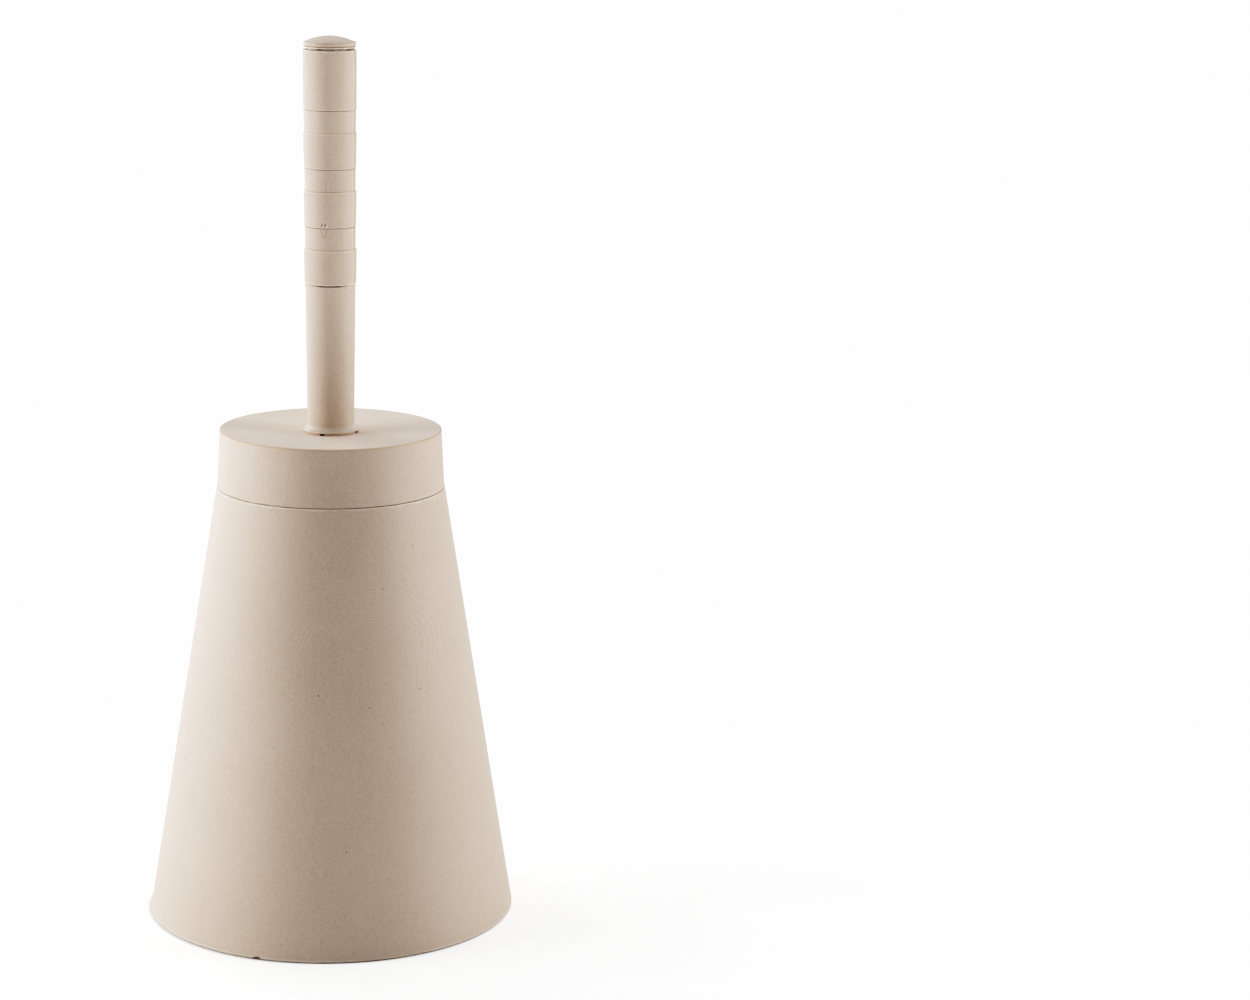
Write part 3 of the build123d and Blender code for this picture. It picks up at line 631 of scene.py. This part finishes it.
# ---------------------------------------------------------------------------
# Floor, world and lights
# ---------------------------------------------------------------------------
def floor():
    mesh = bpy.data.meshes.new("floor")
    bm = bmesh.new()
    rings = [0.0, 0.3, 0.8, 1.6, 3.0, 6.0, 12.0, 25.0]
    seg = 48
    centre = bm.verts.new((0, 0, 0))
    prev = None
    for r in rings[1:]:
        cur = [bm.verts.new((r * math.cos(2 * math.pi * i / seg), r * math.sin(2 * math.pi * i / seg), 0)) for i in range(seg)]
        for i in range(seg):
            j = (i + 1) % seg
            if prev is None:
                bm.faces.new((centre, cur[i], cur[j]))
            else:
                bm.faces.new((prev[i], cur[i], cur[j], prev[j]))
        prev = cur
    bm.to_mesh(mesh)
    bm.free()
    mat = bpy.data.materials.new("pale_floor")
    t = Tree(mat)
    coord = t.node("ShaderNodeTexCoord")
    sep = t.node("ShaderNodeSeparateXYZ")
    t.link(coord.outputs["Object"], sep.inputs[0])
    r = t.math("SQRT", t.math("ADD", t.math("MULTIPLY", sep.outputs[0], sep.outputs[0]), t.math("MULTIPLY", sep.outputs[1], sep.outputs[1])))
    n = t.node("ShaderNodeTexNoise", inputs={"Scale": 300.0, "Detail": 2.0})
    t.link(coord.outputs["Object"], n.inputs["Vector"])
    col = t.mix(t.ramp(n.outputs[0], 0.3, 0.7), (0.86, 0.86, 0.86), (0.88, 0.88, 0.88))
    bsdf = t.node("ShaderNodeBsdfPrincipled")
    t.link(col, bsdf.inputs["Base Color"])
    bsdf.inputs["Roughness"].default_value = 0.6
    bsdf.inputs["Specular IOR Level"].default_value = 0.2
    bsdf.inputs["Emission Color"].default_value = (1.0, 1.0, 1.0, 1.0)
    path = t.node("ShaderNodeLightPath")
    glow = t.ramp(r, 0.30, 2.5, FLOOR_GLOW_NEAR, FLOOR_GLOW_FAR)
    # the glow is cut away in a ring round the foot, a painted contact shadow that is a little wider on the left of the
    # foot
    sx = t.math("ADD", sep.outputs[0], 0.0007)
    sy = t.math("ADD", sep.outputs[1], 0.0004)
    rs = t.math("SQRT", t.math("ADD", t.math("MULTIPLY", sx, sx), t.math("MULTIPLY", sy, sy)))
    glow = t.math("MULTIPLY", glow, t.ramp(rs, 0.0776, 0.0793))
    t.link(t.math("MULTIPLY", glow, path.outputs["Is Camera Ray"]), bsdf.inputs["Emission Strength"])
    out = t.node("ShaderNodeOutputMaterial")
    t.link(bsdf.outputs[0], out.inputs[0])
    mesh.materials.append(mat)
    obj = bpy.data.objects.new("floor", mesh)
    obj.location = (0, 0, -0.00005)
    scene.collection.objects.link(obj)
    return obj


FLOOR_GLOW_NEAR = 1.7 * TONE_MID
FLOOR_GLOW_FAR = 3.6 * TONE_MID
floor()

world = bpy.data.worlds.new("studio")
scene.world = world
world.use_nodes = True
wt = world.node_tree
wt.nodes.clear()
w_out = wt.nodes.new("ShaderNodeOutputWorld")
w_light = wt.nodes.new("ShaderNodeBackground")
w_light.inputs[0].default_value = (1.0, 0.93, 0.85, 1.0)
w_light.inputs[1].default_value = 0.01
w_seen = wt.nodes.new("ShaderNodeBackground")
w_seen.inputs[0].default_value = (1.0, 1.0, 1.0, 1.0)
w_seen.inputs[1].default_value = 3.6 * TONE_MID
w_mix = wt.nodes.new("ShaderNodeMixShader")
w_path = wt.nodes.new("ShaderNodeLightPath")
wt.links.new(w_path.outputs["Is Camera Ray"], w_mix.inputs[0])
wt.links.new(w_light.outputs[0], w_mix.inputs[1])
wt.links.new(w_seen.outputs[0], w_mix.inputs[2])
wt.links.new(w_mix.outputs[0], w_out.inputs[0])


def softbox(name, place, target, size, power, colour):
    data = bpy.data.lights.new(name, "AREA")
    data.shape = "RECTANGLE"
    data.size, data.size_y = size
    data.energy = power
    data.color = colour
    obj = bpy.data.objects.new(name, data)
    scene.collection.objects.link(obj)
    place, target = Vector(place), Vector(target)
    obj.rotation_euler = (target - place).to_track_quat("-Z", "Y").to_euler()
    obj.location = place
    obj.visible_camera = False
    return obj


def ring(azimuth, height=0.62, distance=1.4):
    """A point round the object, its azimuth in degrees from the camera side, to the right."""
    a = math.radians(azimuth)
    return (distance * math.sin(a), -distance * math.cos(a), height)


for name, azimuth, power in (("left_front", -70, 5.92), ("left", -90, 7.40), ("left_back", -130, 8.70),
                             ("right", 85, 6.85), ("right_side", 105, 1.80), ("right_back", 128, 2.35)):
    wide = 0.45 if abs(azimuth) < 100 else 0.7
    softbox("soft_" + name, ring(azimuth), (0, 0, 0.16), (wide, 1.2), power, (1.0, 1.0, 1.0))
softbox("soft_top", (0.0, 1.2, 1.7), (0, 0.1, 0.1), (2.0, 1.4), 11.45, (1.0, 1.0, 1.0))


def spot(name, place, target, angle, power):
    data = bpy.data.lights.new(name, "SPOT")
    data.spot_size = math.radians(angle)
    data.spot_blend = 0.7
    data.shadow_soft_size = 0.04
    data.energy = power
    obj = bpy.data.objects.new(name, data)
    scene.collection.objects.link(obj)
    place, target = Vector(place), Vector(target)
    obj.rotation_euler = (target - place).to_track_quat("-Z", "Y").to_euler()
    obj.location = place
    obj.visible_camera = False
    return obj


spot("fill_handle", ring(28, 0.34, 1.4), (0, 0, 0.318), 9.0, 11.5)
